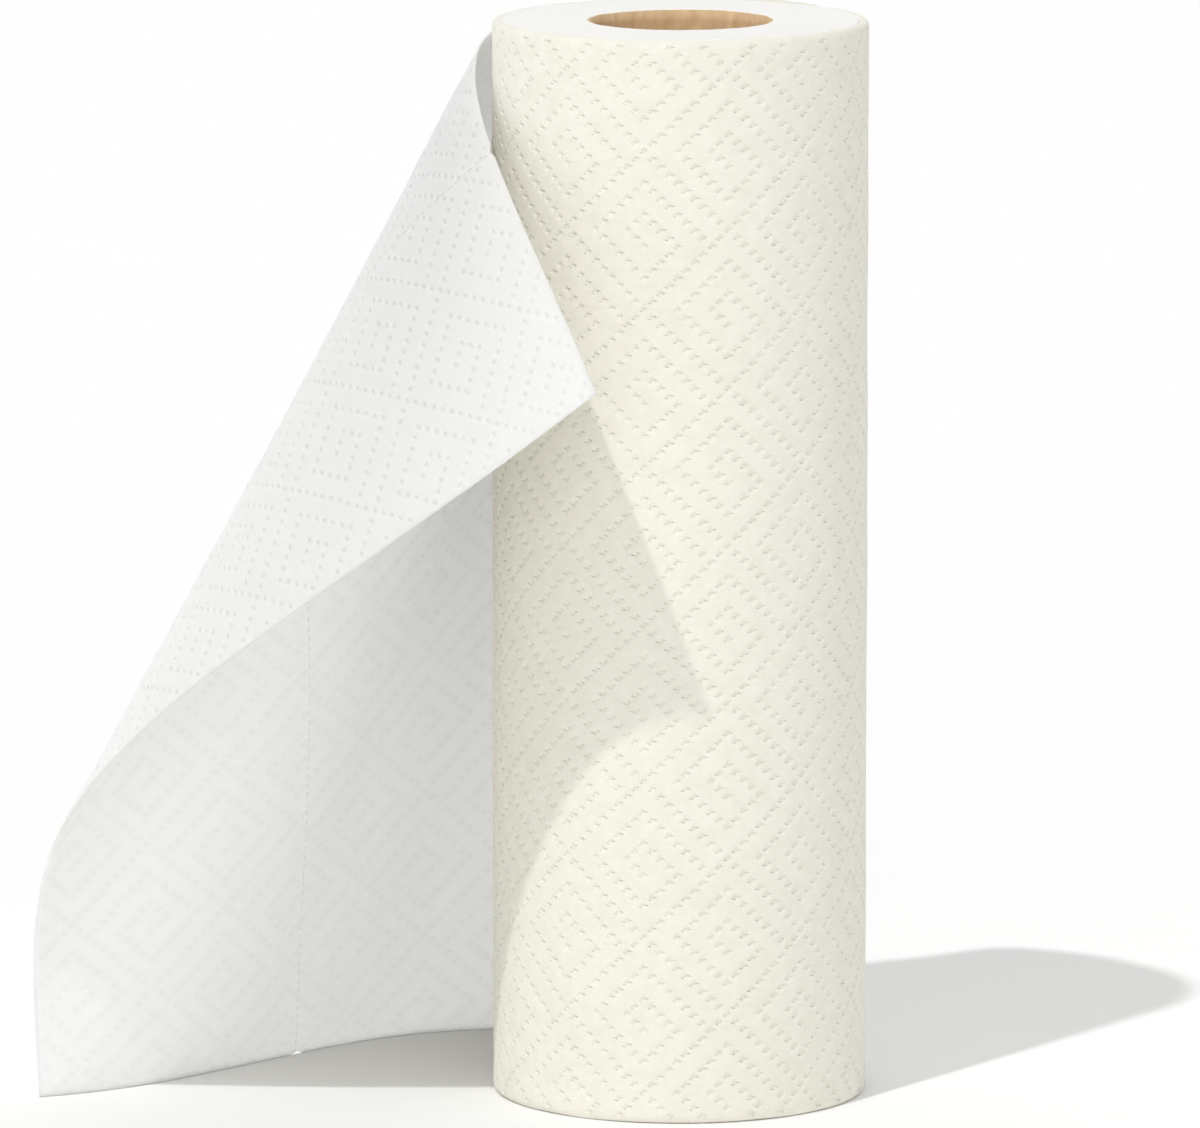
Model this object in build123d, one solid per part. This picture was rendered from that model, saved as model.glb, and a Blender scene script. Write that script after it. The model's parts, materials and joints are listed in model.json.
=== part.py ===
from build123d import *
import os
from math import cos, radians, sin

import numpy as np

# A paper towel roll that stands on its end, with the last turn of its web come loose.
# +Z is the roll's axis, upwards. The origin is on the axis, at the roll's lower end. All sizes are in millimetres.

# Roll
ROLL_DIAMETER = 97.0
WEB_HEIGHT = 279.0

# Cardboard core
CORE_BORE = 46.0
CORE_WALL = 0.8

# Grooves between groups of turns, in both ends of the roll
TURN_GROOVES = 5
GROOVE_WIDTH = 1.2
GROOVE_DEPTH = 0.6

# Loose leaf: the end of the web, embossed and so thicker than plain tissue
LEAF_LENGTH = 238.0
LEAF_THICKNESS = 0.6
# Where round the roll the leaf leaves it, in degrees from +X towards +Y
LEAF_START = 41.4
# The leaf's end is sunk in the roll by this much, and rises out of it over this length
ROOT_SINK = 1.3
ROOT_RUN = 14.0

# The leaf bends along straight lines that fan out over the flat web.
# Each starts on the foot of the web at a station, measured from where the leaf leaves the roll.
# Its bend is given in radians for each 100 mm of foot, and its lean as foot-to-top travel for each 1 mm of height.
BEND_STATIONS = (0, 60, 120, 180, 230, 270, 310, 350, 400, 520)
BENDS = (0.51, 0.99, 1.54, -0.18, -1.19, 3.30, 2.16, 0.22, -1.02, -1.54)
LEAN_STATIONS = (0, 60, 120, 180, 240, 300, 360, 420, 520)
LEANS = (0, 0.077, 0.249, 0.424, 0.600, 0.652, 0.566, 0.532, 0.476)
BEND_LINE_PITCH = 0.5
BEND_LINE_REACH = 522.0

# Gravity and curl draw the free end forwards: by this much at its foot and its top, from this far along
FORWARD_AT_FOOT = 20.2
FORWARD_AT_TOP = 19.1
FORWARD_FROM = 81.0
FORWARD = (0.0, -0.98, 0.17)

# Places where the leaf's smooth skins are set out
PLACES_ALONG = 30
PLACES_UP = 12
SKIN_TOLERANCE = 1.0
SKIN_DEGREE = 3

roll_radius = ROLL_DIAMETER / 2
core_radius = CORE_BORE / 2 + CORE_WALL


def turn_about(point, direction, angle):
    """The 4 by 4 matrix that turns space about a line through a point."""
    x, y, z = np.asarray(direction) / np.linalg.norm(direction)
    cross = np.array([[0, -z, y], [z, 0, -x], [-y, x, 0]])
    turn = np.eye(3) + sin(angle) * cross + (1 - cos(angle)) * cross @ cross
    matrix = np.eye(4)
    matrix[:3, :3] = turn
    matrix[:3, 3] = point - turn @ point
    return matrix


def bend_lines():
    """Where the bend lines start, how they lean, and the matrices after each of them."""
    starts = np.arange(BEND_LINE_PITCH / 2, BEND_LINE_REACH, BEND_LINE_PITCH)
    leans = np.interp(starts, LEAN_STATIONS, LEANS)
    bends = np.interp(starts, BEND_STATIONS, BENDS) / 100 * BEND_LINE_PITCH
    matrices = [np.eye(4)]
    for start, lean, bend in zip(starts, leans, bends):
        line_point = np.array([start, 0.0, 0.0])
        matrices.append(matrices[-1] @ turn_about(line_point, (lean, -1.0, 0.0), bend))
    return starts, leans, matrices


line_starts, line_leans, line_matrices = bend_lines()


def bent(along, up, out):
    """A point of the bent leaf, in the flat web's own frame. Positive out is the web's outer side."""
    passed = int(np.sum(along > line_starts - line_leans * up))
    return (line_matrices[passed] @ np.array([along, up, -out, 1.0]))[:3]


def forward_share(along):
    """How much of the forward draw a place along the leaf gets, from 0 to 1."""
    share = np.clip((along - FORWARD_FROM) / (LEAF_LENGTH - FORWARD_FROM), 0, 1)
    return 0.5 - 0.5 * cos(np.pi * share)


def on_roll(local):
    """Takes a point from the flat web's frame, tangent to the roll, to the roll's frame."""
    start = radians(LEAF_START)
    radial = np.array([cos(start), sin(start), 0.0])
    tangent = np.array([-sin(start), cos(start), 0.0])
    upward = np.array([0.0, 0.0, 1.0])
    return roll_radius * radial + local[0] * tangent + local[1] * upward - local[2] * radial


def leaf_point(along, up, out):
    """A point of the loose leaf: along the web, up from its foot, and out from its middle."""
    place = on_roll(bent(along, up, out))
    foot = on_roll(bent(along, 0.0, out))
    share = forward_share(along)
    draw = FORWARD_AT_FOOT + (FORWARD_AT_TOP - FORWARD_AT_FOOT) * up / WEB_HEIGHT
    place = place + draw * share * np.array(FORWARD)
    foot_height = foot[2] + FORWARD_AT_FOOT * share * FORWARD[2]
    place[2] -= foot_height * (1 - up / WEB_HEIGHT) ** 2
    sink = ROOT_SINK * max(0.0, 1 - along / ROOT_RUN)
    place[:2] -= sink * place[:2] / np.hypot(place[0], place[1])
    return place


def leaf_skin(out):
    """One face of the loose leaf: a smooth surface at a distance out from its middle."""
    rows = []
    for up in np.linspace(0, WEB_HEIGHT, PLACES_UP):
        row = []
        for along in np.linspace(0, LEAF_LENGTH, PLACES_ALONG):
            row.append(Vector(*leaf_point(along, up, out)))
        rows.append(row)
    return Face.make_surface_from_array_of_points(rows, SKIN_TOLERANCE, None, SKIN_DEGREE, SKIN_DEGREE)


def make_leaf():
    """The loose leaf as a closed solid: two skins, joined all round by narrow ruled faces."""
    outer = leaf_skin(LEAF_THICKNESS / 2)
    inner = leaf_skin(-LEAF_THICKNESS / 2)
    borders = []
    for edge in outer.edges():
        partner = min(inner.edges(), key=lambda other: (other @ 0.5 - edge @ 0.5).length)
        borders.append(Face.make_surface_from_curves(edge, partner))
    return Solid(Shell([outer, inner, *borders]))


def ring(outer_radius, inner_radius, bottom, height):
    """A plain ring about the roll's axis."""
    upright = (Align.CENTER, Align.CENTER, Align.MIN)
    body = Cylinder(outer_radius, height, align=upright)
    hole = Cylinder(inner_radius, height, align=upright)
    return Pos(0, 0, bottom) * (body - hole)


def make_turns():
    """The wound web: a thick ring with shallow round grooves between groups of turns, in both ends."""
    turns = ring(roll_radius, core_radius, 0, WEB_HEIGHT)
    group = (roll_radius - core_radius) / (TURN_GROOVES + 1)
    for number in range(1, TURN_GROOVES + 1):
        middle = core_radius + number * group
        for bottom in (0, WEB_HEIGHT - GROOVE_DEPTH):
            turns -= ring(middle + GROOVE_WIDTH / 2, middle - GROOVE_WIDTH / 2, bottom, GROOVE_DEPTH)
    return turns


def make_core():
    """The cardboard tube that the web is wound on, as long as the web is wide."""
    return ring(core_radius, CORE_BORE / 2, 0, WEB_HEIGHT)


nodes = {
    "paper_web": make_turns() + make_leaf(),
    "core_tube": make_core(),
}

os.makedirs("parts", exist_ok=True)
for name, shape in nodes.items():
    export_step(shape, f"parts/{name}.step")
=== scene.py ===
import json
from math import cos, pi, radians, sin

import bpy
import numpy as np
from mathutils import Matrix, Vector, noise


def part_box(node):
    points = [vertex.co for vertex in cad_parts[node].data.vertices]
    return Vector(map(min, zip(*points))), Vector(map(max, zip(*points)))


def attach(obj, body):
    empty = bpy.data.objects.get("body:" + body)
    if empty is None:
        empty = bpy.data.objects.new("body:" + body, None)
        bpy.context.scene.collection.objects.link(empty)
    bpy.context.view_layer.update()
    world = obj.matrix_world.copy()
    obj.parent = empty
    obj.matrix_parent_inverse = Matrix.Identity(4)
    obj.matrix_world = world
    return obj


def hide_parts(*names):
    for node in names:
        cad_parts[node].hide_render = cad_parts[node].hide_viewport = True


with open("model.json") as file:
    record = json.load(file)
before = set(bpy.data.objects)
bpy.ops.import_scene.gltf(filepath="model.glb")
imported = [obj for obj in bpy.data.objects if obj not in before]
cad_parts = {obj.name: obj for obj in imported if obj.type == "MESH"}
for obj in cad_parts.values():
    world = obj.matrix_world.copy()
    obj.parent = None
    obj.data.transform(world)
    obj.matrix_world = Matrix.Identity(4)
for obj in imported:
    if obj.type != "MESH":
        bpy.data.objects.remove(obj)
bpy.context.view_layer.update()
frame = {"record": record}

MM = 0.001

# Sizes read from the frame, in millimetres
core_low, core_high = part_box("core_tube")
bore_mount = next(mount for mount in frame["record"]["mounts"] if mount["name"] == "core_bore")
HEIGHT = (core_high[2] - core_low[2]) / MM
CORE_BORE_RADIUS = bore_mount["dims"]["r_mm"]
CORE_RADIUS = (core_high[0] - core_low[0]) / 2 / MM

# The roll and its loose leaf, in millimetres, as the solids have them but for a thinner leaf
ROLL_RADIUS = 48.5
LEAF_LENGTH = 238.0
LEAF_THICKNESS = 0.5
# Where round the roll the leaf leaves it, in degrees from +X towards +Y
LEAF_START = 41.4
# The leaf's end is sunk in the roll by this much, and rises out of it over this length
ROOT_SINK = 1.3
ROOT_RUN = 14.0

# The leaf bends along straight lines that fan out over the flat web.
# Each starts on the foot of the web at a station, measured from where the leaf leaves the roll.
# Its bend is in radians for each 100 mm of foot, and its lean is foot-to-top travel for each 1 mm of height.
# These bends and leans come from a fit to the leaf's edges in the photo.
BEND_STATIONS = (0, 60, 120, 180, 230, 270, 310, 350, 400, 520)
BENDS = (0.51, 0.99, 1.54, -0.18, -1.19, 3.30, 2.16, 0.22, -1.02, -1.54)
LEAN_STATIONS = (0, 60, 120, 180, 240, 300, 360, 420, 520)
LEANS = (0, 0.077, 0.249, 0.424, 0.600, 0.652, 0.566, 0.532, 0.476)
# The bend lines are twice as far apart as in the solids
BEND_LINE_PITCH = 1.0
BEND_LINE_REACH = 522.0

# Gravity and curl draw the free end forwards: by this much at its foot and its top, from this far along
FORWARD_AT_FOOT = 20.2
FORWARD_AT_TOP = 19.1
FORWARD_FROM = 81.0
FORWARD = (0.0, -0.98, 0.17)

# Embossing: dots on a lattice, where every second site can hold one
CELLS_AROUND = 7
STEPS_PER_CELL = 20
ROWS_UP = 138
DOT_HALF_WIDTH = 0.92
DOT_HALF_HEIGHT = 0.68
DOT_DEPTH = 0.45
LEAF_DOT_DEPTH = 0.42
LEAF_BACK_BUMP = 0.12
# A dot's middle is deeper than its last ring by this factor
DOT_BOTTOM = 1.08
# How far the paper stands up between the dots
PUFF = 0.07
NEXT_SITES = ((1, 0), (0, 1), (-1, 0), (0, -1))
step_around = 2 * pi * ROLL_RADIUS / (CELLS_AROUND * STEPS_PER_CELL)
step_up = HEIGHT / ROWS_UP

# The line that a sheet tears off along, and the scale of the paper's own coordinates
PERFORATION_FROM_EDGE = 80.0
PERFORATION_WIDTH = 0.35
SLIT_PITCH = 2.6
SLIT_SHARE = 0.6
NOTCH_DEPTH = 0.8
UV_SCALE = 100.0


# Lattice of dots

def has_dot(right, up):
    """Whether a lattice site holds a dot: crossing rows, with a square spiral in each diamond."""
    if (right + up) % 2:
        return False
    period = STEPS_PER_CELL // 2
    down = (right - up) // 2 % period
    rise = (right + up) // 2 % period
    crossing_rows = down == 0 or rise == 0
    arms = (
        rise == 8 and down >= 2,
        down == 2 and 2 <= rise <= 8,
        rise == 2 and 2 <= down <= 8,
        down == 8 and 2 <= rise <= 6,
        rise == 6 and 4 <= down <= 8,
        down == 4 and 4 <= rise <= 6,
        rise == 4 and 4 <= down <= 6,
    )
    return crossing_rows or any(arms)


def stitch(inner, outer):
    """Triangles between two rings of vertices that start on the same side."""
    triangles = []
    i = j = 0
    while i < len(inner) or j < len(outer):
        inner_turns = (i + 1) / len(inner)
        outer_turns = (j + 1) / len(outer)
        if j == len(outer) or (i < len(inner) and inner_turns <= outer_turns):
            triangles.append((inner[i], outer[j % len(outer)], inner[(i + 1) % len(inner)]))
            i += 1
        else:
            triangles.append((inner[i % len(inner)], outer[j], outer[(j + 1) % len(outer)]))
            j += 1
    return triangles


class DottedSheet:
    """A flat sheet of lattice tiles with real dots. Places are right and up in steps, lifts in mm."""

    def __init__(self, columns, rows, shift, closed, rings):
        self.columns = columns
        self.rows = rows
        self.shift = shift
        self.closed = closed
        self.rings = rings
        self.places = []
        self.faces = []
        self.sites = {}
        for right in range(columns + (0 if closed else 1)):
            for up in range(rows + 1):
                if (right + up) % 2 == 0:
                    self.add_tile(right, up)

    def dotted(self, right, up):
        """Whether a site has a dot, with the pattern shifted to where it is on this sheet."""
        clear_of_border = 1 <= up <= self.rows - 1
        if not self.closed:
            clear_of_border = clear_of_border and 1 <= right <= self.columns - 1
        return clear_of_border and has_dot(right - self.shift[0], up - self.shift[1])

    def add_place(self, right, up, lift):
        self.places.append((right, up, lift))
        return len(self.places) - 1

    def site(self, right, up):
        """The shared vertex at a lattice site, or None outside the sheet."""
        key_right = right % self.columns if self.closed else right
        if not 0 <= up <= self.rows or not 0 <= key_right <= self.columns:
            return None
        key = (key_right, up)
        if key not in self.sites:
            plain = sum(not self.dotted(key_right + x, up + y) for x, y in NEXT_SITES)
            self.sites[key] = self.add_place(key_right, up, PUFF * plain / len(NEXT_SITES))
        return self.sites[key]

    def add_tile(self, right, up):
        """The diamond tile round a site: with a dot, plain, or part of a tile at the sheet's border."""
        corners = [self.site(right + x, up + y) for x, y in NEXT_SITES]
        if None in corners:
            middle = self.site(right, up)
            for first, second in zip(corners, corners[1:] + corners[:1]):
                if first is not None and second is not None:
                    self.faces.append((middle, first, second))
        elif not self.dotted(right, up):
            self.faces.append(tuple(corners))
        else:
            outer = corners
            for share, lift, count in self.rings:
                ring = []
                for number in range(count):
                    angle = 2 * pi * number / count
                    x = right + share * DOT_HALF_WIDTH / step_around * cos(angle)
                    y = up + share * DOT_HALF_HEIGHT / step_up * sin(angle)
                    ring.append(self.add_place(x, y, lift))
                self.faces.extend(stitch(ring, outer))
                outer = ring
            middle = self.add_place(right, up, self.rings[-1][1] * DOT_BOTTOM)
            for first, second in zip(outer, outer[1:] + outer[:1]):
                self.faces.append((middle, first, second))


def new_piece(name, points, faces, uvs=None, dimple_shade_mask=None):
    """A smooth mesh object from points in millimetres, which rides on the row's one body."""
    mesh = bpy.data.meshes.new(name)
    mesh.from_pydata([tuple(point) for point in np.asarray(points) * MM], [], faces)
    mesh.validate()
    mesh.shade_smooth()
    if uvs is not None:
        layer = mesh.uv_layers.new(name="UVMap")
        corner_vertices = np.empty(len(mesh.loops), dtype=np.int32)
        mesh.loops.foreach_get("vertex_index", corner_vertices)
        layer.data.foreach_set("uv", np.asarray(uvs, dtype=np.float32)[corner_vertices].ravel())
    # Each vertex's dot depth, which the single sheet's material uses to paint shade into its dots
    if dimple_shade_mask is not None:
        depths = mesh.attributes.new("dimple", "FLOAT", "POINT")
        depths.data.foreach_set("value", np.asarray(dimple_shade_mask, dtype=np.float32))
    piece = bpy.data.objects.new(name, mesh)
    bpy.context.scene.collection.objects.link(piece)
    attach(piece, "root")
    return piece


def wave(x, y, z, scale, seed):
    """Smooth noise from -1 to 1 that varies over a scale in millimetres."""
    return noise.noise(Vector((x / scale + seed, y / scale - seed, z / scale + 2 * seed)))


# Outer turn of the roll

RIM_PROFILE = ((0.25, 0.70), (0.80, 0.18), (1.60, 0.0), (2.60, 0.25))
RIM_DENT = 0.55
RIM_WAVE = 0.5
SIDE_WAVE = 0.22
# Where round the roll its pattern starts, in degrees from +X towards +Y
PATTERN_START = -101


def make_outer_turn():
    """The last whole turn: an embossed wall round the roll, with soft rims that turn in at both ends."""
    columns = CELLS_AROUND * STEPS_PER_CELL
    # A cell's middle faces the viewer, a little to the left, below the top
    shift = (-10, 114)
    rings = ((1.0, 0.0, 8), (0.5, -0.8 * DOT_DEPTH, 8))
    sheet = DottedSheet(columns, ROWS_UP, shift, True, rings)
    front = radians(PATTERN_START)
    points = []
    for right, up, lift in sheet.places:
        azimuth = front + 2 * pi * right / columns
        height = up * step_up
        x, y = ROLL_RADIUS * cos(azimuth), ROLL_RADIUS * sin(azimuth)
        swell = SIDE_WAVE * wave(x, y, height * 0.5, 16, 3.1)
        radius = ROLL_RADIUS - SIDE_WAVE + lift + swell
        if up in (0, ROWS_UP):
            inset, drop = RIM_PROFILE[0]
            radius -= inset
            height = drop if up == 0 else HEIGHT - drop
        points.append((radius * cos(azimuth), radius * sin(azimuth), height))
    faces = list(sheet.faces)
    for up in (0, ROWS_UP):
        previous = [sheet.site(right, up) for right in range(columns)]
        for inset, drop in RIM_PROFILE[1:]:
            ring = []
            for right in range(columns):
                azimuth = front + 2 * pi * right / columns
                x, y = ROLL_RADIUS * cos(azimuth), ROLL_RADIUS * sin(azimuth)
                dent = RIM_DENT * max(0.0, wave(x, y, up, 9, 7.7)) if up else 0.0
                radius = ROLL_RADIUS - SIDE_WAVE - inset + RIM_WAVE * wave(x, y, up, 12, 1.3)
                height = HEIGHT - drop - dent if up else drop
                ring.append(len(points))
                points.append((radius * cos(azimuth), radius * sin(azimuth), height))
            for number in range(columns):
                after = (number + 1) % columns
                quad = (previous[number], previous[after], ring[after], ring[number])
                faces.append(quad if up else quad[::-1])
            previous = ring
    uvs = [(right * step_around / UV_SCALE, up * step_up / UV_SCALE) for right, up, lift in sheet.places]
    uvs += [(0.0, 0.0)] * (len(points) - len(uvs))
    piece = new_piece("outer_turn", points, faces, uvs)
    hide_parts("paper_web")
    return piece


# Wound turns, seen at both ends

TURNS = 48
TURN_STEP = 0.16
END_INSET = 0.12
END_WAVE = 0.10
RIM_OVERLAP = 0.3
TURN_SECTORS = 140


def make_wound_turns():
    """The turns inside: both ends of the roll with a ridge for each turn, and the walls that join them."""
    outer_radius = ROLL_RADIUS - RIM_PROFILE[-1][0] + RIM_OVERLAP
    pitch = (outer_radius - CORE_RADIUS) / TURNS
    loops = []
    for row in range(2 * TURNS + 1):
        radius = CORE_RADIUS + row * pitch / 2
        ridge = row % 2
        loops.append((radius, ridge))
    points = []
    faces = []

    def add_ring(radius, ridge, top):
        ring = []
        for sector in range(TURN_SECTORS):
            azimuth = 2 * pi * sector / TURN_SECTORS
            drift = pitch * sector / TURN_SECTORS
            winds = CORE_RADIUS < radius < outer_radius - pitch
            reach = min(max(radius + (drift if winds else 0), CORE_RADIUS), outer_radius)
            x, y = reach * cos(azimuth), reach * sin(azimuth)
            uneven = END_WAVE * wave(x, y, radius * 3, 6, 5.5)
            height = HEIGHT - END_INSET - (0 if ridge else TURN_STEP) + uneven
            ring.append(len(points))
            points.append((x, y, height if top else HEIGHT - height))
        return ring

    ends = []
    for top in (True, False):
        rings = [add_ring(radius, ridge, top) for radius, ridge in loops]
        for lower, upper in zip(rings, rings[1:]):
            for sector in range(TURN_SECTORS):
                after = (sector + 1) % TURN_SECTORS
                quad = (lower[sector], upper[sector], upper[after], lower[after])
                faces.append(quad if top else quad[::-1])
        ends.append(rings)
    for index, flip in ((0, True), (-1, False)):
        upper, lower = ends[0][index], ends[1][index]
        for sector in range(TURN_SECTORS):
            after = (sector + 1) % TURN_SECTORS
            quad = (lower[sector], lower[after], upper[after], upper[sector])
            faces.append(quad[::-1] if flip else quad)
    piece = new_piece("wound_turns", points, faces)
    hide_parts("paper_web")
    return piece


# Loose leaf

def turn_about(point, direction, angle):
    """The 4 by 4 matrix that turns space about a line through a point."""
    x, y, z = np.asarray(direction) / np.linalg.norm(direction)
    cross = np.array([[0, -z, y], [z, 0, -x], [-y, x, 0]])
    turn = np.eye(3) + sin(angle) * cross + (1 - cos(angle)) * cross @ cross
    matrix = np.eye(4)
    matrix[:3, :3] = turn
    matrix[:3, 3] = point - turn @ point
    return matrix


def bend_lines():
    """Where the bend lines start, how they lean, and the matrices after each of them."""
    starts = np.arange(BEND_LINE_PITCH / 2, BEND_LINE_REACH, BEND_LINE_PITCH)
    leans = np.interp(starts, LEAN_STATIONS, LEANS)
    bends = np.interp(starts, BEND_STATIONS, BENDS) / 100 * BEND_LINE_PITCH
    matrices = [np.eye(4)]
    for start, lean, bend in zip(starts, leans, bends):
        line_point = np.array([start, 0.0, 0.0])
        matrices.append(matrices[-1] @ turn_about(line_point, (lean, -1.0, 0.0), bend))
    return starts, leans, np.array(matrices)


def leaf_points(along, up, out):
    """Points of the loose leaf for arrays of places along the web, up from its foot and out."""
    starts, leans, matrices = bend_lines()
    along, up, out = (np.asarray(values, float) for values in (along, up, out))
    azimuth = radians(LEAF_START)
    radial = np.array([cos(azimuth), sin(azimuth), 0.0])
    tangent = np.array([-sin(azimuth), cos(azimuth), 0.0])
    upward = np.array([0.0, 0.0, 1.0])

    def bent(height):
        passed = np.sum(along[:, None] > starts[None, :] - leans[None, :] * height[:, None], axis=1)
        flat = np.stack([along, height, -out, np.ones_like(along)], axis=1)
        local = np.einsum("nij,nj->ni", matrices[passed], flat)
        outward = ROLL_RADIUS - local[:, 2:3]
        return outward * radial + local[:, :1] * tangent + local[:, 1:2] * upward

    place = bent(up)
    foot = bent(np.zeros_like(up))
    share = np.clip((along - FORWARD_FROM) / (LEAF_LENGTH - FORWARD_FROM), 0, 1)
    share = 0.5 - 0.5 * np.cos(pi * share)
    draw = FORWARD_AT_FOOT + (FORWARD_AT_TOP - FORWARD_AT_FOOT) * up / HEIGHT
    place = place + (draw * share)[:, None] * np.array(FORWARD)
    foot_height = foot[:, 2] + FORWARD_AT_FOOT * share * FORWARD[2]
    place[:, 2] -= foot_height * (1 - up / HEIGHT) ** 2
    sink = ROOT_SINK * np.maximum(0.0, 1 - along / ROOT_RUN)
    place[:, :2] -= sink[:, None] * place[:, :2] / np.hypot(place[:, 0], place[:, 1])[:, None]
    return place


# Soft waves and finer crumples: the height, scale and seed of each, and how far along they are full
CRUMPLES = ((0.35, 30, 2.2), (0.12, 9, 4.4))
CRUMPLE_RUN = 40.0


def crumpled(along, up):
    """How far the paper's waves and crumples lift a place of the leaf."""
    return sum(height * wave(along, up, 0, scale, seed) for height, scale, seed in CRUMPLES)


def make_loose_leaf():
    """The loose leaf: two faces of dotted tiles a paper's thickness apart, joined round their borders."""
    columns = int(LEAF_LENGTH / step_around)
    # A cell's middle is 15 columns before the free edge and 124 rows up
    shift = (columns - 15 - 10, 124)
    half = LEAF_THICKNESS / 2
    outer = DottedSheet(columns, ROWS_UP, shift, False, ((1.0, 0.0, 8), (0.65, -0.85 * LEAF_DOT_DEPTH, 4)))
    inner = DottedSheet(columns, ROWS_UP, shift, False, ((1.0, -LEAF_BACK_BUMP, 4),))
    points = []
    uvs = []
    dimple_shade_mask = []
    faces = []
    for sheet, side in ((outer, 1), (inner, -1)):
        places = np.array(sheet.places)
        along = LEAF_LENGTH - (columns - places[:, 0]) * step_around
        up = places[:, 1] * step_up
        notch = NOTCH_DEPTH * (np.abs(along - LEAF_LENGTH + PERFORATION_FROM_EDGE) < step_around / 2)
        up = np.clip(up, notch, HEIGHT - notch)
        if side == 1:
            out = half + places[:, 2]
        else:
            out = -half - PUFF + places[:, 2]
        crumple = np.array([crumpled(*place) for place in zip(along, up)])
        hold = np.clip(along / CRUMPLE_RUN, 0, 1)
        first = len(points)
        points.extend(leaf_points(along, up, out + crumple * hold))
        uvs.extend(zip(along / UV_SCALE, up / UV_SCALE))
        # How deep each place sits in a dot, for the shade painted into the dots
        dimple_shade_mask.extend(np.clip(-places[:, 2] / LEAF_DOT_DEPTH, 0, 1))
        for face in sheet.faces:
            shifted = tuple(first + vertex for vertex in face)
            faces.append(shifted if side == 1 else shifted[::-1])
    border = [(right, 0) for right in range(columns)]
    border += [(columns, up) for up in range(ROWS_UP)]
    border += [(right, ROWS_UP) for right in range(columns, 0, -1)]
    border += [(0, up) for up in range(ROWS_UP, 0, -1)]
    offset = len(outer.places)
    for here, there in zip(border, border[1:] + border[:1]):
        outer_pair = outer.site(*here), outer.site(*there)
        inner_pair = offset + inner.site(*here), offset + inner.site(*there)
        faces.append((outer_pair[1], outer_pair[0], inner_pair[0], inner_pair[1]))
    points = np.array(points)
    points[:, 2] = np.clip(points[:, 2], 0.0, HEIGHT)
    piece = new_piece("loose_leaf", points, faces, uvs, dimple_shade_mask)
    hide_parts("paper_web")
    return piece


# Cardboard core

PLY_STEP = 0.18
PLY_PITCH = 62.0
CORE_SECTORS = 120
CORE_ROWS = 90
CORE_INSET = 0.35
CORE_FRAY = 0.2
CORE_GAP = 0.02
# The ply's edge rises over one of this many parts of a turn
PLY_RISE = 14


def make_cardboard_core():
    """The core: a thin tube wound from a slanting strip, so a low step runs up its inside as a helix."""
    points = []
    faces = []
    walls = []
    for base_radius, inside in ((CORE_BORE_RADIUS, True), (CORE_RADIUS, False)):
        rings = []
        for row in range(CORE_ROWS + 1):
            ring = []
            for sector in range(CORE_SECTORS):
                azimuth = 2 * pi * sector / CORE_SECTORS
                height = HEIGHT * row / CORE_ROWS
                turn = (height / PLY_PITCH + azimuth / (2 * pi)) % 1
                ply = PLY_STEP * min(1.0, turn * PLY_RISE) if inside else 0.0
                if row in (0, CORE_ROWS):
                    fray = CORE_INSET + CORE_FRAY * wave(cos(azimuth) * 20, sin(azimuth) * 20, row, 5, 6.1)
                    height = fray if row == 0 else HEIGHT - fray
                radius = base_radius + (ply if inside else -CORE_GAP)
                ring.append(len(points))
                points.append((radius * cos(azimuth), radius * sin(azimuth), height))
            rings.append(ring)
        for lower, upper in zip(rings, rings[1:]):
            for sector in range(CORE_SECTORS):
                after = (sector + 1) % CORE_SECTORS
                quad = (lower[sector], lower[after], upper[after], upper[sector])
                faces.append(quad[::-1] if inside else quad)
        walls.append(rings)
    for row, top in ((0, False), (-1, True)):
        inner, outer = walls[0][row], walls[1][row]
        for sector in range(CORE_SECTORS):
            after = (sector + 1) % CORE_SECTORS
            quad = (inner[sector], outer[sector], outer[after], inner[after])
            faces.append(quad if top else quad[::-1])
    piece = new_piece("cardboard_core", points, faces)
    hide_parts("core_tube")
    return piece


# Materials

def new_material(name):
    """A new material, with its node tree and its shader."""
    material = bpy.data.materials.new(name)
    material.use_nodes = True
    tree = material.node_tree
    shader = tree.nodes["Principled BSDF"]
    return material, tree, shader


def noise_node(tree, source, scale, detail, stretch=(1, 1, 1)):
    """A noise texture over a coordinate, stretched along its axes."""
    mapping = tree.nodes.new("ShaderNodeMapping")
    mapping.inputs["Scale"].default_value = stretch
    texture = tree.nodes.new("ShaderNodeTexNoise")
    texture.inputs["Scale"].default_value = scale
    texture.inputs["Detail"].default_value = detail
    tree.links.new(source, mapping.inputs["Vector"])
    tree.links.new(mapping.outputs["Vector"], texture.inputs["Vector"])
    return texture.outputs["Fac"]


def colour_between(tree, factor, low, high):
    """A colour ramp between two colours, driven by a factor."""
    ramp = tree.nodes.new("ShaderNodeValToRGB")
    ramp.color_ramp.elements[0].position = 0.3
    ramp.color_ramp.elements[0].color = (*low, 1)
    ramp.color_ramp.elements[1].position = 0.7
    ramp.color_ramp.elements[1].color = (*high, 1)
    tree.links.new(factor, ramp.inputs["Fac"])
    return ramp.outputs["Color"]


def add_bump(tree, shader, heights):
    """Bumps chained one after another: pairs of a height and its depth in metres."""
    normal = None
    for height, depth in heights:
        bump = tree.nodes.new("ShaderNodeBump")
        bump.inputs["Strength"].default_value = 1.0
        bump.inputs["Distance"].default_value = depth
        tree.links.new(height, bump.inputs["Height"])
        if normal is not None:
            tree.links.new(normal, bump.inputs["Normal"])
        normal = bump.outputs["Normal"]
    tree.links.new(normal, shader.inputs["Normal"])


def sheet_places(tree):
    """The places along and up the paper, as outputs named X and Y."""
    split = tree.nodes.new("ShaderNodeSeparateXYZ")
    tree.links.new(tree.nodes.new("ShaderNodeTexCoord").outputs["UV"], split.inputs["Vector"])
    return split.outputs


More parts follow.
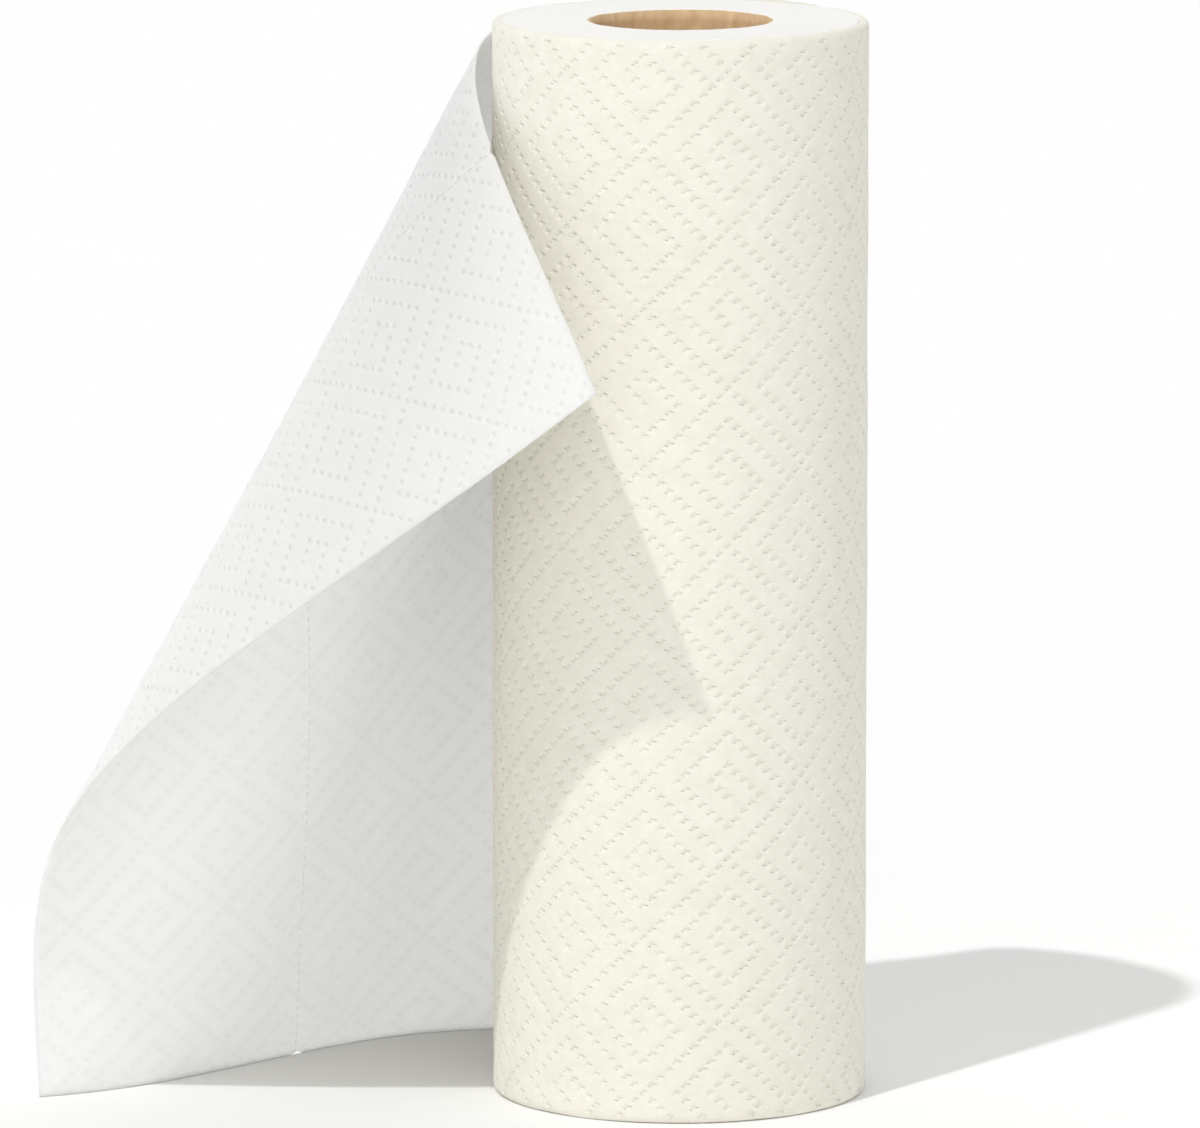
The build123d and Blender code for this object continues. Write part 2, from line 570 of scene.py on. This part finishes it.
def perforation(tree):
    """A factor that is 1 on the short slits of the line that a sheet tears off along."""
    places = sheet_places(tree)

    def math(operation, first, second=0):
        node = tree.nodes.new("ShaderNodeMath")
        node.operation = operation
        tree.links.new(first, node.inputs[0])
        node.inputs[1].default_value = second
        return node.outputs["Value"]

    line = (LEAF_LENGTH - PERFORATION_FROM_EDGE) / UV_SCALE
    away = math("ABSOLUTE", math("SUBTRACT", places["X"], line))
    near = math("LESS_THAN", away, PERFORATION_WIDTH / 2 / UV_SCALE)
    turn = math("FRACT", math("MULTIPLY", places["Y"], UV_SCALE / SLIT_PITCH))
    slits = math("LESS_THAN", turn, SLIT_SHARE)
    both = tree.nodes.new("ShaderNodeMath")
    both.operation = "MULTIPLY"
    tree.links.new(near, both.inputs[0])
    tree.links.new(slits, both.inputs[1])
    return both.outputs["Value"]


# Colours of the wound web, its cut edges, the core and the single sheet, each from dark to light
ROLL_COLOURS = ((0.845, 0.822, 0.726), (0.892, 0.870, 0.774))
EDGE_COLOURS = ((0.94, 0.93, 0.90), (0.98, 0.975, 0.95))
CARDBOARD_COLOURS = ((0.65, 0.45, 0.25), (0.82, 0.60, 0.375))
LEAF_COLOURS = ((0.945, 0.935, 0.90), (0.97, 0.96, 0.925))
# The single sheet starts in this colour of the roll, and has its own from this far along
ROLL_MIDDLE = (0.868, 0.846, 0.750)
ROOT_BLEND = 85.0
SLIT_COLOUR = (0.70, 0.69, 0.66)
# Painted shade: the single sheet's dots are darkened towards this colour by their depth
PAINTED_DIMPLE_SHADE = (0.83, 0.82, 0.78)
# How much of the single sheet's shading is light inside the paper, and how far that travels in metres
SEE_THROUGH = 0.85
LIGHT_THROUGH = 0.0065


def toned(tree, colour, factor, tone):
    """A colour that changes into a plain tone where a factor is 1."""
    mix = tree.nodes.new("ShaderNodeMix")
    mix.data_type = "RGBA"
    colour_inputs = [place for place in mix.inputs if place.type == "RGBA"]
    colour_inputs[1].default_value = (*tone, 1)
    tree.links.new(factor, mix.inputs["Factor"])
    tree.links.new(colour, colour_inputs[0])
    return next(place for place in mix.outputs if place.type == "RGBA")


def along_root(tree, at_root, beyond):
    """A value that changes evenly from the leaf's root to where the leaf has left the roll."""
    span = tree.nodes.new("ShaderNodeMapRange")
    span.inputs["From Min"].default_value = ROOT_RUN / UV_SCALE
    span.inputs["From Max"].default_value = ROOT_BLEND / UV_SCALE
    span.inputs["To Min"].default_value = at_root
    span.inputs["To Max"].default_value = beyond
    tree.links.new(sheet_places(tree)["X"], span.inputs["Value"])
    return span.outputs["Result"]


def tissue(name, colours, single):
    """Creped tissue: off-white and dull, with fine fibres and folds. A single sheet lets light through, and
    has shade painted into its dots.
    """
    material, tree, shader = new_material(name)
    coordinates = tree.nodes.new("ShaderNodeTexCoord").outputs["Object"]
    mottle = noise_node(tree, coordinates, 260, 3)
    paper_colour = colour_between(tree, mottle, *colours)
    if single:
        paper_colour = toned(tree, paper_colour, along_root(tree, 1, 0), ROLL_MIDDLE)
        # Painted shade: the colour darkens by each dot's depth, standing in for shade in the dents
        dimple = tree.nodes.new("ShaderNodeAttribute")
        dimple.attribute_name = "dimple"
        paper_colour = toned(tree, paper_colour, dimple.outputs["Fac"], PAINTED_DIMPLE_SHADE)
        paper_colour = toned(tree, paper_colour, perforation(tree), SLIT_COLOUR)
    fibres = noise_node(tree, coordinates, 1500, 2, (1, 1, 0.5))
    crepe = noise_node(tree, coordinates, 500, 3, (1, 1, 2.5))
    tree.links.new(paper_colour, shader.inputs["Base Color"])
    shader.inputs["Roughness"].default_value = 0.95
    shader.inputs["Specular IOR Level"].default_value = 0.2
    shader.inputs["Sheen Weight"].default_value = 0.15
    shader.inputs["Sheen Roughness"].default_value = 0.6
    if single:
        tree.links.new(along_root(tree, 0, SEE_THROUGH), shader.inputs["Subsurface Weight"])
        shader.inputs["Subsurface Radius"].default_value = (1.0, 1.0, 0.95)
        shader.inputs["Subsurface Scale"].default_value = LIGHT_THROUGH
    add_bump(tree, shader, ((crepe, 0.00012), (fibres, 0.00005)))
    return material


def cut_edges():
    """Tissue seen on its cut edges: the same paper, a little rougher."""
    material, tree, shader = new_material("tissue_cut_edges")
    coordinates = tree.nodes.new("ShaderNodeTexCoord").outputs["Object"]
    fray = noise_node(tree, coordinates, 900, 4)
    tree.links.new(colour_between(tree, fray, *EDGE_COLOURS), shader.inputs["Base Color"])
    shader.inputs["Roughness"].default_value = 0.97
    shader.inputs["Specular IOR Level"].default_value = 0.15
    add_bump(tree, shader, ((fray, 0.00015),))
    return material


def cardboard():
    """Brown cardboard: matt, with flecks and fibres."""
    material, tree, shader = new_material("core_cardboard")
    coordinates = tree.nodes.new("ShaderNodeTexCoord").outputs["Object"]
    flecks = noise_node(tree, coordinates, 420, 5, (1, 1, 0.35))
    fibres = noise_node(tree, coordinates, 1400, 3)
    tree.links.new(colour_between(tree, flecks, *CARDBOARD_COLOURS), shader.inputs["Base Color"])
    shader.inputs["Roughness"].default_value = 0.85
    shader.inputs["Specular IOR Level"].default_value = 0.25
    add_bump(tree, shader, ((flecks, 0.00008), (fibres, 0.00005)))
    return material


def pale_floor():
    """A smooth pale floor."""
    material, tree, shader = new_material("pale_floor")
    shader.inputs["Base Color"].default_value = (0.98, 0.98, 0.975, 1)
    shader.inputs["Roughness"].default_value = 0.9
    return material


# Pieces with their materials

for piece, material, slot in (
    (make_outer_turn(), tissue("embossed_tissue", ROLL_COLOURS, False), "tissue"),
    (make_wound_turns(), cut_edges(), "tissue"),
    (make_loose_leaf(), tissue("single_sheet", LEAF_COLOURS, True), "tissue"),
    (make_cardboard_core(), cardboard(), "cardboard"),
):
    piece.data.materials.append(material)

# Floor, lights and camera

FLOOR_SIZE = 12.0
SUN_TRAVEL = Vector((0.283, 0.412, -0.866))
SUN_STRENGTH = 1.16
SUN_ANGLE = 1.4
SKY_STRENGTH = 0.56
FILL_TRAVEL = Vector((0.05, 0.98, -0.18))
FILL_STRENGTH = 0.65
FILL_ANGLE = 60.0
BACK_TRAVEL = Vector((0.10, -0.80, -0.59))
BACK_STRENGTH = 0.51
BACK_ANGLE = 80.0

bpy.ops.mesh.primitive_plane_add(size=FLOOR_SIZE, location=(0, 0, 0))
floor = bpy.context.active_object
floor.name = "floor"
floor.data.materials.append(pale_floor())


def add_light(name, travel, strength, angle):
    """A far light that shines along a direction, soft by its angle in degrees."""
    light_data = bpy.data.lights.new(name, "SUN")
    light_data.energy = strength
    light_data.angle = radians(angle)
    light = bpy.data.objects.new(name, light_data)
    light.rotation_euler = travel.to_track_quat("-Z", "Y").to_euler()
    bpy.context.scene.collection.objects.link(light)


add_light("sun", SUN_TRAVEL, SUN_STRENGTH, SUN_ANGLE)
add_light("front_fill", FILL_TRAVEL, FILL_STRENGTH, FILL_ANGLE)
add_light("back_light", BACK_TRAVEL, BACK_STRENGTH, BACK_ANGLE)

world = bpy.data.worlds.new("studio")
world.use_nodes = True
world.node_tree.nodes["Background"].inputs["Color"].default_value = (1, 1, 1, 1)
world.node_tree.nodes["Background"].inputs["Strength"].default_value = SKY_STRENGTH
bpy.context.scene.world = world

CAMERA_PLACE = (0.0, -3.0, 0.62)
CAMERA_DOWN = 0.15947
CAMERA_LEFT = 0.00687
CAMERA_LENS = 353.17

camera_data = bpy.data.cameras.new("camera")
camera_data.lens = CAMERA_LENS
camera_data.sensor_width = 36.0
camera_data.sensor_fit = "HORIZONTAL"
camera = bpy.data.objects.new("camera", camera_data)
camera.location = CAMERA_PLACE
camera.rotation_euler = (pi / 2 - CAMERA_DOWN, 0, CAMERA_LEFT)
bpy.context.scene.collection.objects.link(camera)
bpy.context.scene.camera = camera
bpy.context.scene.view_settings.view_transform = "Standard"
